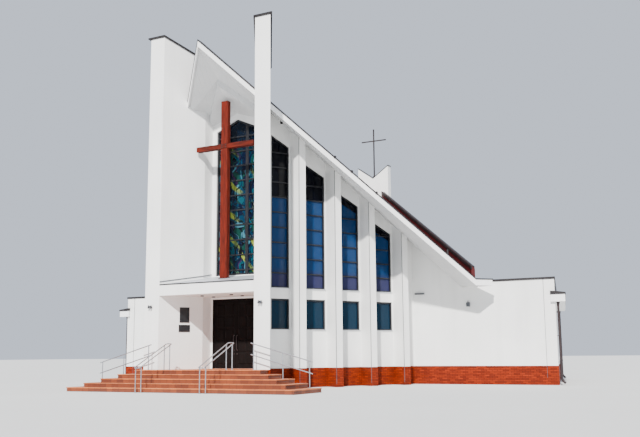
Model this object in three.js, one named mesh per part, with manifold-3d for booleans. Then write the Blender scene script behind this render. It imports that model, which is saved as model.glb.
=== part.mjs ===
// A modern parish church with a peaked prow roof, two tall entrance fins and low side wings.
// Millimetres. X runs to the right along the front, Y runs back into the building, Z is up.
// The origin is on the ground, on the building's centre line, at the middle of its depth and width.

import * as THREE from 'three';
import { mergeVertices } from 'three/addons/utils/BufferGeometryUtils.js';
import Module from 'manifold-3d';

const wasm = await Module();
wasm.setup();

// Clearances
const GAP = 0.3;
const DOOR_GAP = 6;
const TOOL_OVERRUN = 10;

// Levels above the ground
const FLOOR = 800;
const SLAB = 200;
const LOWER_SILL = 2370;
const LOWER_HEAD = 3650;
const UPPER_SILL = 4080;
const PARAPET = 4520;
const FLAT_ROOF = 4150;
const FLAT_ROOF_THICK = 300;

// Main roof: a square turned 45 degrees in plan, its ridge falling from the prow to the back
const PROW_Y = -705;
const PROW_TOP = 13914;
const ROOF_FALL_X = 0.912;
const ROOF_FALL_Y = 0.19;
const ROOF_THICK = 240;
const EAVE_X = 8650;
const EAVE_TIP = 420;
const TIP_LOW = 4250;
const TIP_HIGH = 4470;
const SOFFIT_AT_WALL = [4330, 6430, 11550];
const SOFFIT_START = 2162.5;
const FASCIA_INSET = 60;
const FASCIA_DEEP = 40;
const UPSTAND_HIGH = 430;
const UPSTAND_THICK = 120;
const UPSTAND_START = 250;
const REAR_INSET = 150;
const REAR_UPPER_THICK = 250;
const FLAT_ROOF_INSET = 500;
const TAIL_Y = 17300;

// Entrance fins
const FIN_IN = 2250;
const FIN_WIDE = 710;
const FIN_TOP = 14750;
const FIN_TOP_FALL = 0.385;
const FIN_BACK = [1290, 1690];
const RECESS_IN = 1240;
const RECESS_Y = 2210;

// Windowed side walls run back and outwards from here
const WALL_ANGLE = THREE.MathUtils.degToRad(29.5);
const WALL_START = [1400, 2600];
const WALL_THICK = 400;
const FIRST_BAY = 1312;
const BAY = 1802;
const BAYS = 4;
const PIER_THICK = 326;
const PIER_DEEP = 734;
const HEAD_START = 10600;
const HEAD_FALL = 0.47;
const HEAD_STEP = 0.625;
const JAMB = 40;
const FIRST_JAMB = 60;
const PANE_LAP = 60;
const PANE_START = 30;
const PANE_ABOVE = 300;

// Front wall, doorway and entrance window
const FRONT_THICK = 300;
const OPENING_HALF = 1030;
const DOOR_HALF = 1150;
const DOOR_TOP = 3660;
const FRAME_WIDE = 80;
const FRAME_DEEP = 120;
const LEAF_THICK = 60;
const WINDOW_SILL = 4640;
const WINDOW_SHOULDER = 10890;
const WINDOW_APEX = 11350;
const GLASS_THICK = 40;
const GLASS_Y = 2330;
const LEAF_Y = 2230;

// Canopy over the door and the sloping ceiling above the recess
const CANOPY_LOW = 3740;
const CANOPY_HIGH = 4190;
const CANOPY_RISE = 0.185;
const CEILING_Y = 700;
const CEILING_FRONT = 12420;
const CEILING_FALL_X = 0.327;
const CEILING_FALL_Y = 0.543;
const CEILING_REACH = 1450;
const PROW_REACH = 1900;
const SOFFIT_RIDGE = 12690;
const SOFFIT_RIDGE_FALL = 0.86;

// Wings
const WING_Y = 9180;
const WING_OUT = 11570;
const WING_BACK = 9800;
const WING_IN_Y = WING_Y + WALL_THICK;
const WING_TOE = 115;
const REAR_Y = 17900;
const REAR_IN_Y = REAR_Y - WALL_THICK;
const REAR_WINDOW_X = [2400, 5200, 8000];
const REAR_WINDOW_HALF = 550;
const EAVE_LOW = 3480;
const EAVE_HIGH = 3950;
const EAVE_REACH = 430;
const EAVE_FALL = 80;
const EAVE_RETURN = 170;
const EAVE_FRONT = 120;
const EAVE_STOP = 100;
const PIPE_OUT = 115;
const PIPE_RADIUS = 50;
const PIPE_AT = [90, 8700];

// Bell gable at the back of the ridge, and its metal cross
const GABLE_Y = 16580;
const GABLE_DEEP = 410;
const GABLE_HALF = 930;
const GABLE_PEAK = 12060;
const GABLE_VALLEY = 11400;
const CROSS_BAR = 62;
const CROSS_HALF = 764;
const CROSS_ARM = 13640;
const CROSS_TOP = 14340;

// Timber cross in front of the entrance window
const TIMBER_Y = 1330;
const TIMBER_BEAM = 330;
const TIMBER_DEEP = 240;
const TIMBER_TOP = 11900;
const TIMBER_ARM = 9950;
const TIMBER_ARM_HIGH = 210;
const TIMBER_HALF = 1400;
const TIMBER_ARM_INSET = 10;

// Steps and railings
const RISERS = 5;
const TREAD = 350;
const SIDE_TREAD = 550;
const LANDING_Y = -600;
const LANDING_HALF = 2900;
const RAIL_RADIUS = 22;
const RAIL_HIGH = 950;
const RAIL_X = 1450;
const RAIL_APART = 260;
const RAIL_END = 120;
const FRONT_RAIL_FOOT = 2150;
const FRONT_RAIL_HEAD = -450;
const RAIL_SLOPE = FLOOR / (FRONT_RAIL_FOOT + FRONT_RAIL_HEAD);
const RAIL_MIDDLE = 420;
const TIE_RADIUS = 15;
const SIDE_RAIL_FALL = 0.27;
const SIDE_RAIL_Y = -330;
const SIDE_POSTS = [[2450, 800], [3700, 480], [4800, 160]];
const sideRailTop = (x) => FLOOR + RAIL_HIGH - (x - SIDE_POSTS[0][0]) * SIDE_RAIL_FALL;

const PAINT = { white: [0xf0f0ee, 0.85, 0], glass: [0x1d4470, 0.15, 0.1], timber: [0x6e3324, 0.6, 0],
  door: [0x3c2723, 0.55, 0], tile: [0xa0603f, 0.8, 0], steel: [0xc4c8cc, 0.3, 0.9],
  roof: [0x5a2626, 0.6, 0.2], dark: [0x2a2a2e, 0.5, 0.4], floor: [0xb0aca4, 0.8, 0] };

const church = new THREE.Group();

function add(name, geometry, paint) {
  const [color, roughness, metalness] = PAINT[paint];
  const mesh = new THREE.Mesh(geometry, new THREE.MeshStandardMaterial({ color, roughness, metalness }));
  mesh.name = name;
  church.add(mesh);
  return mesh;
}

function toSolid(geometry) {
  const bare = geometry.clone();
  bare.deleteAttribute('normal');
  bare.deleteAttribute('uv');
  const merged = mergeVertices(bare);
  const mesh = new wasm.Mesh({
    numProp: 3,
    vertProperties: new Float32Array(merged.attributes.position.array),
    triVerts: new Uint32Array(merged.index.array),
  });
  return new wasm.Manifold(mesh);
}

function toGeometry(solid) {
  const mesh = solid.getMesh();
  const geometry = new THREE.BufferGeometry();
  geometry.setAttribute('position', new THREE.BufferAttribute(new Float32Array(mesh.vertProperties), 3));
  geometry.setIndex(new THREE.BufferAttribute(new Uint32Array(mesh.triVerts), 1));
  geometry.computeVertexNormals();
  return geometry;
}

const cut = (from, ...tools) =>
  toGeometry(tools.reduce((solid, tool) => solid.subtract(toSolid(tool)), toSolid(from)));
const join = (...pieces) => toGeometry(pieces.map(toSolid).reduce((all, piece) => all.add(piece)));

// An upright solid over a plan outline. low and high give the heights at each corner,
// either as one number or as a function of the corner's x, y and place in the outline.
function upright(outline, low, high) {
  const points = outline.map(([x, y]) => new THREE.Vector2(x, y));
  const height = (rule, i) => (typeof rule === 'function' ? rule(outline[i][0], outline[i][1], i) : rule);
  const count = points.length;
  const triangles = THREE.ShapeUtils.triangulateShape(points, []);
  const turned = THREE.ShapeUtils.area(points) < 0;
  const flip = (a, b, c) => (turned ? [a, c, b] : [a, b, c]);
  const position = [];
  for (const rule of [low, high]) {
    points.forEach((point, i) => position.push(point.x, point.y, height(rule, i)));
  }
  const index = [];
  for (const [a, b, c] of triangles) {
    const up = THREE.ShapeUtils.area([points[a], points[b], points[c]]) > 0;
    const face = up ? [a, b, c] : [a, c, b];
    index.push(face[0] + count, face[1] + count, face[2] + count, face[0], face[2], face[1]);
  }
  for (let i = 0; i < count; i += 1) {
    const j = (i + 1) % count;
    index.push(...flip(i, j, j + count), ...flip(i, j + count, i + count));
  }
  const geometry = new THREE.BufferGeometry();
  geometry.setAttribute('position', new THREE.Float32BufferAttribute(position, 3));
  geometry.setIndex(index);
  geometry.computeVertexNormals();
  return geometry;
}

const mirror = (side, outline) => outline.map(([x, y]) => [side * x, y]);
const box = (x0, x1, y0, y1, z0, z1) => upright([[x0, y0], [x1, y0], [x1, y1], [x0, y1]], z0, z1);

// Moves each edge of an outline outwards by a distance, or inwards where it is negative
function grown(outline, distance) {
  const count = outline.length;
  const area = THREE.ShapeUtils.area(outline.map(([x, y]) => new THREE.Vector2(x, y)));
  const out = distance * Math.sign(area);
  const edges = outline.map(([x, y], i) => {
    const [u, v] = outline[(i + 1) % count];
    const length = Math.hypot(u - x, v - y);
    const normal = [(v - y) / length, (x - u) / length];
    return { normal, reach: normal[0] * x + normal[1] * y + out };
  });
  return edges.map((edge, i) => {
    const last = edges[(i + count - 1) % count];
    const det = last.normal[0] * edge.normal[1] - last.normal[1] * edge.normal[0];
    return [(last.reach * edge.normal[1] - edge.reach * last.normal[1]) / det,
      (edge.reach * last.normal[0] - last.reach * edge.normal[0]) / det];
  });
}

// A round bar between two points
function rod(from, to, radius) {
  const start = new THREE.Vector3(...from);
  const end = new THREE.Vector3(...to);
  const along = end.clone().sub(start);
  const geometry = new THREE.CylinderGeometry(radius, radius, along.length(), 8);
  const turn = new THREE.Quaternion().setFromUnitVectors(new THREE.Vector3(0, 1, 0), along.normalize());
  geometry.applyQuaternion(turn);
  geometry.translate(...start.add(end).multiplyScalar(0.5).toArray());
  return geometry;
}

// A strip beside the rear edge of the main roof, between two y places and two insets
const tailStrip = (from, to, outer, innerInset) => [[tailX(from, outer), from], [tailX(to, outer), to],
  [tailX(to, innerInset), to], [tailX(from, innerInset), from]];

// Roof surfaces
const roofTop = (x, y) => PROW_TOP - ROOF_FALL_X * Math.abs(x) - ROOF_FALL_Y * (y - PROW_Y);
const roofUnder = (x, y) => roofTop(x, y) - ROOF_THICK;
const underRoof = (x, y) => roofUnder(x, y) - GAP;
const EAVE_Y = PROW_Y + EAVE_X;
const TAIL_SLOPE = (TAIL_Y - EAVE_Y) / EAVE_X;

// The rear edge of the main roof, moved inwards by a distance: x at a given y
const tailX = (y, inset) => (TAIL_Y - inset * Math.hypot(1, TAIL_SLOPE) - y) / TAIL_SLOPE;

// A place on the windowed wall: along it, and outwards from its outer face
function wallPoint(along, out) {
  return [WALL_START[0] + along * Math.sin(WALL_ANGLE) + out * Math.cos(WALL_ANGLE),
    WALL_START[1] + along * Math.cos(WALL_ANGLE) - out * Math.sin(WALL_ANGLE)];
}
const wallStrip = (from, to, inner, outer) =>
  [wallPoint(from, inner), wallPoint(to, inner), wallPoint(to, outer), wallPoint(from, outer)];
const WALL_LONG = (WING_Y - WALL_START[1]) / Math.cos(WALL_ANGLE);
const pierEnd = (bay) => FIRST_BAY + BAY * bay;
const bayStart = (bay) => (bay === 0 ? 0 : pierEnd(bay - 1));
const bayEnd = (bay) => pierEnd(bay) - PIER_THICK;
const headAt = (along, bay) => HEAD_START - HEAD_STEP * (bayEnd(bay) - bayEnd(0))
  - HEAD_FALL * (along - bayEnd(bay)) - HEAD_FALL * bayEnd(0);

// A wing's outer side, which turns in towards the back: x at a given y, and a place along it
const SIDE_TURN = Math.atan((WING_OUT - WING_BACK) / (REAR_Y - WING_Y));
const sideX = (y, out) => WING_OUT - (y - WING_Y) * Math.tan(SIDE_TURN) + out / Math.cos(SIDE_TURN);
const SIDE_LONG = Math.hypot(WING_OUT - WING_BACK, REAR_Y - WING_Y);
const sidePoint = (along, out) => [WING_OUT - along * Math.sin(SIDE_TURN) + out * Math.cos(SIDE_TURN),
  WING_Y + along * Math.cos(SIDE_TURN) + out * Math.sin(SIDE_TURN)];

// Entrance fin: its sides turn in towards the centre line, parallel to the opposite side wall
const finOutline = [[FIN_IN, 0], [FIN_IN + FIN_WIDE, 0], WALL_START,
  wallPoint(0, -WALL_THICK), [RECESS_IN, RECESS_Y + FRONT_THICK], [RECESS_IN, RECESS_Y], FIN_BACK];
const finTop = (x, y) => FIN_TOP - FIN_TOP_FALL * y / Math.cos(WALL_ANGLE);
const fin = (side, grow, top) => upright(mirror(side, grown(finOutline, grow)), 0, top);
const finSpace = (side) => fin(side, GAP, FIN_TOP + FIN_WIDE);

// The inner side of a wing's room in plan, from the front to the back
const roomSide = [WING_IN_Y + GAP, REAR_IN_Y - GAP].map((y) => [sideX(y, -WALL_THICK - GAP), y]);

const recessOutline = [[-FIN_IN, 0], [FIN_IN, 0], FIN_BACK, [RECESS_IN, RECESS_Y],
  [-RECESS_IN, RECESS_Y], [-FIN_BACK[0], FIN_BACK[1]]];

// Soffit under the overhang, level with the fascia at the verge and lower at the wall
const soffitOutline = [
  [SOFFIT_START, PROW_Y + SOFFIT_START + FASCIA_INSET],
  [EAVE_X - FASCIA_INSET, EAVE_Y],
  [tailX(WING_Y, FASCIA_INSET), WING_Y - GAP],
  [WALL_START[0] + (WING_Y - WALL_START[1]) * Math.tan(WALL_ANGLE) + GAP * 3, WING_Y - GAP],
  wallPoint(0, GAP * 3)];
function soffitLow(x, y, corner) {
  const atVerge = roofUnder(x, y) - FASCIA_DEEP;
  return corner < 2 ? atVerge : Math.min(SOFFIT_AT_WALL[corner - 2], atVerge);
}
function soffitBody(side, drop, grow) {
  return upright(mirror(side, grown(soffitOutline, grow)),
    (x, y, i) => soffitLow(...soffitOutline[i], i) - drop, (x, y) => roofUnder(x, y) + drop - GAP);
}

for (const [side, word] of [[1, 'right'], [-1, 'left']]) {
  add(`entrance_fin_${word}`, fin(side, 0, finTop), 'white');

  const wallBody = upright(mirror(side, [wallPoint(GAP, -WALL_THICK), wallPoint(WALL_LONG, -WALL_THICK),
    wallPoint(WALL_LONG, 0), wallPoint(GAP, 0)]), 0, underRoof);
  const openings = [];
  for (let bay = 0; bay < BAYS; bay += 1) {
    const strip = mirror(side, wallStrip(bayStart(bay) + (bay ? JAMB : FIRST_JAMB),
      bayEnd(bay) - JAMB, -WALL_THICK - TOOL_OVERRUN, TOOL_OVERRUN));
    const along = [bayStart(bay), bayEnd(bay), bayEnd(bay), bayStart(bay)];
    openings.push(upright(strip, LOWER_SILL, LOWER_HEAD));
    openings.push(upright(strip, UPPER_SILL, (x, y, i) => headAt(along[i], bay)));
    const pier = upright(mirror(side, wallStrip(bayEnd(bay), pierEnd(bay), GAP, PIER_DEEP)),
      0, (x, y) => roofUnder(x, y) - GAP * 3);
    add(`wall_pier_${word}_${bay + 1}`, cut(pier, soffitBody(side, GAP * 2, GAP * 3)), 'white');
  }
  add(`side_wall_${word}`, cut(wallBody, ...openings, finSpace(side)), 'white');

  const lastPane = bayEnd(BAYS - 1);
  const glassStrip = mirror(side, wallStrip(PANE_START, lastPane + PANE_LAP,
    -WALL_THICK - GLASS_THICK - GAP, -WALL_THICK - GAP));
  const along = [PANE_START, lastPane, lastPane, PANE_START];
  add(`upper_glass_${word}`, upright(glassStrip, UPPER_SILL - PANE_LAP,
    (x, y, i) => HEAD_START + PANE_ABOVE - HEAD_STEP * (along[i] - PANE_START)), 'glass');
  add(`lower_glass_${word}`, upright(glassStrip, LOWER_SILL - PANE_LAP, LOWER_HEAD + PANE_LAP), 'glass');

  const roofPlan = mirror(side, [[GAP / 2, PROW_Y + GAP / 2], [EAVE_X, EAVE_Y],
    [tailX(GABLE_Y - GAP, 0), GABLE_Y - GAP], [GAP / 2, GABLE_Y - GAP]]);
  add(`main_roof_${word}`, cut(upright(roofPlan, roofUnder, roofTop), finSpace(side)), 'roof');
  add(`soffit_${word}`, cut(soffitBody(side, 0, 0), finSpace(side)), 'white');
  const upstand = mirror(side, tailStrip(EAVE_Y + UPSTAND_START, GABLE_Y - GAP, 0, UPSTAND_THICK));
  add(`rear_upstand_${word}`, upright(upstand, (x, y) => roofTop(x, y) + GAP,
    (x, y) => roofTop(x, y) + UPSTAND_HIGH), 'roof');
  const tip = mirror(side, [[tailX(EAVE_Y + GAP, -GAP), EAVE_Y + GAP],
    [EAVE_X + EAVE_TIP, EAVE_Y + EAVE_TIP], [tailX(WING_Y - GAP, -GAP), WING_Y - GAP]]);
  add(`verge_end_${word}`, upright(tip, TIP_LOW, TIP_HIGH), 'white');
  const upperWall = mirror(side, tailStrip(WING_IN_Y + GAP, GABLE_Y - GAP, REAR_INSET,
    REAR_INSET + REAR_UPPER_THICK));
  add(`rear_upper_wall_${word}`, upright(upperWall, FLAT_ROOF + FLAT_ROOF_THICK, underRoof), 'white');
  const flatRoof = mirror(side, [[tailX(WING_IN_Y, FLAT_ROOF_INSET), WING_IN_Y + GAP],
    ...roomSide, [GAP / 2, REAR_IN_Y - GAP],
    [GAP / 2, TAIL_Y - FLAT_ROOF_INSET * Math.hypot(1, TAIL_SLOPE)]]);
  add(`wing_roof_${word}`, upright(flatRoof, FLAT_ROOF, FLAT_ROOF + FLAT_ROOF_THICK), 'dark');

  const corner = wallPoint(WALL_LONG + GAP, 0);
  const innerCorner = wallPoint(WALL_LONG + GAP, -WALL_THICK);
  const wing = mirror(side, [[corner[0], WING_Y], [WING_OUT, WING_Y],
    [sideX(REAR_IN_Y - GAP, 0), REAR_IN_Y - GAP], [sideX(REAR_IN_Y - GAP, -WALL_THICK), REAR_IN_Y - GAP],
    [sideX(WING_IN_Y, -WALL_THICK), WING_IN_Y],
    [innerCorner[0] + WING_TOE, WING_IN_Y], innerCorner, corner]);
  const wingGable = mirror(side, [[corner[0], WING_Y], [tailX(WING_Y, FASCIA_INSET), WING_Y],
    [tailX(WING_IN_Y, FASCIA_INSET), WING_IN_Y], [innerCorner[0] + WING_TOE, WING_IN_Y],
    innerCorner, corner]);
  add(`wing_wall_${word}`, join(upright(wing, 0, PARAPET), upright(wingGable, PARAPET, underRoof)),
    'white');

  const sideEnd = SIDE_LONG - EAVE_STOP;
  const eaveOutline = [[WING_OUT - EAVE_RETURN, WING_Y - EAVE_FRONT],
    [sideX(WING_Y - EAVE_FRONT, EAVE_REACH), WING_Y - EAVE_FRONT], sidePoint(sideEnd, EAVE_REACH),
    sidePoint(sideEnd, GAP), [sideX(WING_Y - GAP, GAP), WING_Y - GAP],
    [WING_OUT - EAVE_RETURN, WING_Y - GAP]];
  const eave = upright(mirror(side, eaveOutline), EAVE_LOW,
    (x, y, i) => EAVE_HIGH - (i === 1 || i === 2 ? EAVE_FALL : 0));
  const pipes = PIPE_AT.map((along) => {
    const [x, y] = sidePoint(along, PIPE_OUT);
    return rod([side * x, y, 0], [side * x, y, EAVE_LOW + PIPE_RADIUS], PIPE_RADIUS);
  });
  add(`side_eave_${word}`, join(eave, ...pipes), 'dark');
}

// Front wall of the recess, with the doorway below and the tall window above
const windowHead = (x) => WINDOW_APEX - (WINDOW_APEX - WINDOW_SHOULDER) * Math.abs(x) / OPENING_HALF;
const frontBack = RECESS_Y + FRONT_THICK;
const ceilingPlane = (x, y) => CEILING_FRONT - CEILING_FALL_X * Math.abs(x)
  - CEILING_FALL_Y * (y - CEILING_Y);
const bothHalves = (outline, low, high) =>
  join(upright(outline, low, high), upright(mirror(-1, outline), low, high));

for (const [side, word] of [[1, 'right'], [-1, 'left']]) {
  const jamb = mirror(side, [[OPENING_HALF, RECESS_Y], [RECESS_IN - GAP, RECESS_Y],
    [RECESS_IN - GAP, frontBack - GAP], [OPENING_HALF, frontBack - GAP]]);
  const doorway = box(-DOOR_HALF, DOOR_HALF, RECESS_Y - TOOL_OVERRUN, frontBack + TOOL_OVERRUN,
    -TOOL_OVERRUN, DOOR_TOP);
  add(`front_wall_${word}`, cut(upright(jamb, 0, windowHead), doorway), 'white');
}
add('front_wall_over_door', box(-OPENING_HALF + GAP, OPENING_HALF - GAP, RECESS_Y, frontBack,
  DOOR_TOP, WINDOW_SILL), 'white');
const gableHalf = [[0, RECESS_Y], [RECESS_IN - GAP, RECESS_Y], [RECESS_IN - GAP, frontBack - GAP],
  [0, frontBack - GAP]];
add('front_gable', bothHalves(gableHalf, (x) => windowHead(x) + GAP, underRoof), 'white');
const glassHalf = [[0, GLASS_Y], [OPENING_HALF - GAP, GLASS_Y], [OPENING_HALF - GAP, GLASS_Y + GLASS_THICK],
  [0, GLASS_Y + GLASS_THICK]];
add('entrance_glass', bothHalves(glassHalf, WINDOW_SILL + GAP, (x) => windowHead(x) - GAP), 'glass');

// Ceiling of the recess: the prow's soffit, and behind it a lower part whose front edge runs back on
// both sides, parallel to the verges
const bandEnd = [CEILING_REACH, CEILING_Y + CEILING_REACH];
const prowHalf = [[0, PROW_Y + FASCIA_INSET * 2], [PROW_REACH, PROW_Y + FASCIA_INSET * 2 + PROW_REACH],
  [...bandEnd], [0, CEILING_Y]];
const prowLow = (x, y, i) => (i < 2 ? roofUnder(x, y) - FASCIA_DEEP
  : SOFFIT_RIDGE - SOFFIT_RIDGE_FALL * Math.abs(x));
const ceilingHalf = [[0, CEILING_Y], [...bandEnd], [CEILING_REACH, RECESS_Y - GAP],
  [0, RECESS_Y - GAP]];
add('porch_ceiling', cut(join(bothHalves(prowHalf, prowLow, underRoof),
  bothHalves(ceilingHalf, ceilingPlane, underRoof)), finSpace(1), finSpace(-1)), 'white');

// Canopy between the fins, with a gently rising top
const canopyTop = (x, y) => CANOPY_HIGH + CANOPY_RISE * y;
add('door_canopy', upright(grown(recessOutline, -GAP), CANOPY_LOW, canopyTop), 'white');

// Timber cross standing on the canopy
const beam = upright([[-TIMBER_BEAM / 2, TIMBER_Y - TIMBER_DEEP / 2], [TIMBER_BEAM / 2,
  TIMBER_Y - TIMBER_DEEP / 2], [TIMBER_BEAM / 2, TIMBER_Y + TIMBER_DEEP / 2],
[-TIMBER_BEAM / 2, TIMBER_Y + TIMBER_DEEP / 2]], (x, y) => canopyTop(x, y) + GAP, TIMBER_TOP);
const arm = box(-TIMBER_HALF, TIMBER_HALF, TIMBER_Y - TIMBER_DEEP / 2 + TIMBER_ARM_INSET,
  TIMBER_Y + TIMBER_DEEP / 2 - TIMBER_ARM_INSET,
  TIMBER_ARM - TIMBER_ARM_HIGH / 2, TIMBER_ARM + TIMBER_ARM_HIGH / 2);
add('timber_cross', join(beam, arm), 'timber');

// Doorway: a frame and two leaves that open outwards
const inner = DOOR_HALF - GAP - FRAME_WIDE;
const frameHigh = DOOR_TOP - GAP;
add('door_frame', join(
  box(-inner - FRAME_WIDE, -inner, RECESS_Y, RECESS_Y + FRAME_DEEP, FLOOR, frameHigh),
  box(inner, inner + FRAME_WIDE, RECESS_Y, RECESS_Y + FRAME_DEEP, FLOOR, frameHigh),
  box(-inner, inner, RECESS_Y, RECESS_Y + FRAME_DEEP, frameHigh - FRAME_WIDE, frameHigh),
), 'door');
for (const [side, word] of [[1, 'right'], [-1, 'left']]) {
  const hinge = side * (inner - DOOR_GAP);
  const edges = [side * DOOR_GAP, hinge].sort((a, b) => a - b);
  const leaf = box(...edges, LEAF_Y, LEAF_Y + LEAF_THICK, FLOOR + DOOR_GAP * 2,
    frameHigh - FRAME_WIDE - DOOR_GAP);
  const barrel = rod([hinge, LEAF_Y, FLOOR + GAP], [hinge, LEAF_Y, frameHigh - FRAME_WIDE - GAP],
    DOOR_GAP - GAP);
  add(`door_leaf_${word}`, join(leaf, barrel), 'door');
}

// Rear wall with a row of windows like the lower ones at the sides
for (const [side, word] of [[1, 'right'], [-1, 'left']]) {
  const rearWall = upright(mirror(side, [[GAP / 2, REAR_IN_Y], [sideX(REAR_IN_Y, 0), REAR_IN_Y],
    [WING_BACK, REAR_Y], [GAP / 2, REAR_Y]]), 0, PARAPET);
  const openings = REAR_WINDOW_X.map((x) => box(side * x - REAR_WINDOW_HALF, side * x + REAR_WINDOW_HALF,
    REAR_IN_Y - TOOL_OVERRUN, REAR_Y + TOOL_OVERRUN, LOWER_SILL, LOWER_HEAD));
  add(`rear_wall_${word}`, cut(rearWall, ...openings), 'white');
}
const rearReach = REAR_WINDOW_X.at(-1) + REAR_WINDOW_HALF + PANE_LAP;
add('rear_glass', box(-rearReach, rearReach, REAR_IN_Y - GLASS_THICK - GAP, REAR_IN_Y - GAP,
  LOWER_SILL - PANE_LAP, LOWER_HEAD + PANE_LAP), 'glass');

// Floors: the room inside and the landing between the fins
const roomHalf = [[DOOR_HALF - GAP, RECESS_Y], [DOOR_HALF - GAP, frontBack + GAP],
  [RECESS_IN - GAP, frontBack + GAP], wallPoint(0, -WALL_THICK - GAP * 3),
  wallPoint(WALL_LONG, -WALL_THICK - GAP * 3),
  [wallPoint(WALL_LONG, -WALL_THICK)[0] + WING_TOE, WING_IN_Y + GAP],
  ...roomSide];
add('floor_slab', upright([...roomHalf, ...mirror(-1, roomHalf).reverse()], FLOOR - SLAB, FLOOR), 'floor');
add('porch_floor', upright(grown(recessOutline, -GAP), 0, FLOOR), 'tile');

// Steps: broad slabs stacked one on another, narrower towards the top
const riser = FLOOR / RISERS;
for (let layer = 0; layer < RISERS; layer += 1) {
  const below = RISERS - 1 - layer;
  const half = LANDING_HALF + SIDE_TREAD * below;
  add(`step_${layer + 1}`, box(-half, half, LANDING_Y - TREAD * below, -GAP, riser * layer,
    riser * (layer + 1)), 'tile');
}

// Steel handrails beside the front steps and down each side flight
for (const [side, word] of [[1, 'right'], [-1, 'left']]) {
  const low = -FRONT_RAIL_FOOT;
  const pairs = [-RAIL_APART / 2, RAIL_APART / 2].flatMap((shift) => {
    const x = side * RAIL_X + shift;
    return [rod([x, low, 0], [x, low, RAIL_HIGH], RAIL_RADIUS),
      rod([x, FRONT_RAIL_HEAD, FLOOR + GAP], [x, FRONT_RAIL_HEAD, FLOOR + RAIL_HIGH], RAIL_RADIUS),
      rod([x, low - RAIL_END, RAIL_HIGH - RAIL_END * RAIL_SLOPE], [x, FRONT_RAIL_HEAD + RAIL_END,
        FLOOR + RAIL_HIGH + RAIL_END * RAIL_SLOPE], RAIL_RADIUS)];
  });
  const ties = [[low, RAIL_HIGH], [FRONT_RAIL_HEAD, FLOOR + RAIL_HIGH]].map(([y, z]) =>
    rod([side * RAIL_X - RAIL_APART / 2, y, z], [side * RAIL_X + RAIL_APART / 2, y, z], TIE_RADIUS));
  add(`front_rail_${word}`, join(...pairs, ...ties), 'steel');

  const posts = SIDE_POSTS.map(([x, z]) =>
    rod([side * x, SIDE_RAIL_Y, z + GAP], [side * x, SIDE_RAIL_Y, sideRailTop(x)], RAIL_RADIUS));
  const rails = [0, -RAIL_MIDDLE].map((drop) => {
    const [near, far] = [SIDE_POSTS[0][0] - RAIL_END, SIDE_POSTS.at(-1)[0] + RAIL_END];
    return rod([side * near, SIDE_RAIL_Y, sideRailTop(near) + drop],
      [side * far, SIDE_RAIL_Y, sideRailTop(far) + drop], RAIL_RADIUS);
  });
  add(`side_rail_${word}`, join(...posts, ...rails), 'steel');
}

// Bell gable: a slab with a notched top, standing behind the ridge, and its metal cross
const gableSide = [[0, GABLE_Y], [GABLE_HALF, GABLE_Y], [GABLE_HALF, GABLE_Y + GABLE_DEEP],
  [0, GABLE_Y + GABLE_DEEP]];
add('bell_gable', bothHalves(gableSide, FLAT_ROOF + FLAT_ROOF_THICK,
  (x) => GABLE_VALLEY + (GABLE_PEAK - GABLE_VALLEY) * Math.abs(x) / GABLE_HALF), 'white');
const crossY = GABLE_Y + GABLE_DEEP / 2;
const bar = CROSS_BAR / 2;
const foot = GABLE_VALLEY + (GABLE_PEAK - GABLE_VALLEY) * bar / GABLE_HALF + GAP;
add('metal_cross', join(box(-bar, bar, crossY - bar, crossY + bar, foot, CROSS_TOP),
  box(-CROSS_HALF, CROSS_HALF, crossY - bar, crossY + bar, CROSS_ARM - bar, CROSS_ARM + bar)), 'dark');

const frontReach = FRONT_RAIL_FOOT + RAIL_END + RAIL_RADIUS * Math.sin(Math.atan(RAIL_SLOPE));
church.position.y = -(REAR_Y - frontReach) / 2;
export default church;
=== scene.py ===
"""A modern church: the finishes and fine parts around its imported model.

Lengths are metres. The shapes below are worked out in the building's own plan, with y = 0 on the
fronts of the entrance fins, and moved to the model's frame by BACK when they become meshes.
"""
import math

import bpy
import numpy as np
from mathutils import Matrix, Vector


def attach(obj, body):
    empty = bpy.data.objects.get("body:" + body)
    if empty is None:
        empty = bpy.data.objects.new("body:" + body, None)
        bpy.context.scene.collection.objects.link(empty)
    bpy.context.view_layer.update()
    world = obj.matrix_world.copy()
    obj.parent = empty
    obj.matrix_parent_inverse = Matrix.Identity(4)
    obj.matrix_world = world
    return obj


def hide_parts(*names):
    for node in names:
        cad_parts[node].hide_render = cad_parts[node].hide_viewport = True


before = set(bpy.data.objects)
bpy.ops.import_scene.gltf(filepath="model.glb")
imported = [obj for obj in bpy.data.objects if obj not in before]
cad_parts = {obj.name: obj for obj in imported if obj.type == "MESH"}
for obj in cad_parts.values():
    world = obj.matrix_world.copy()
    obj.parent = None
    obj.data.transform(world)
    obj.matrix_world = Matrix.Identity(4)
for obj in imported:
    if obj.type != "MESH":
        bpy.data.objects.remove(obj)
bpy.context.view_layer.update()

BACK = -7.8103162
RIGHT, LEFT = 1, -1
SIDES = ((RIGHT, "right"), (LEFT, "left"))

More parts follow.
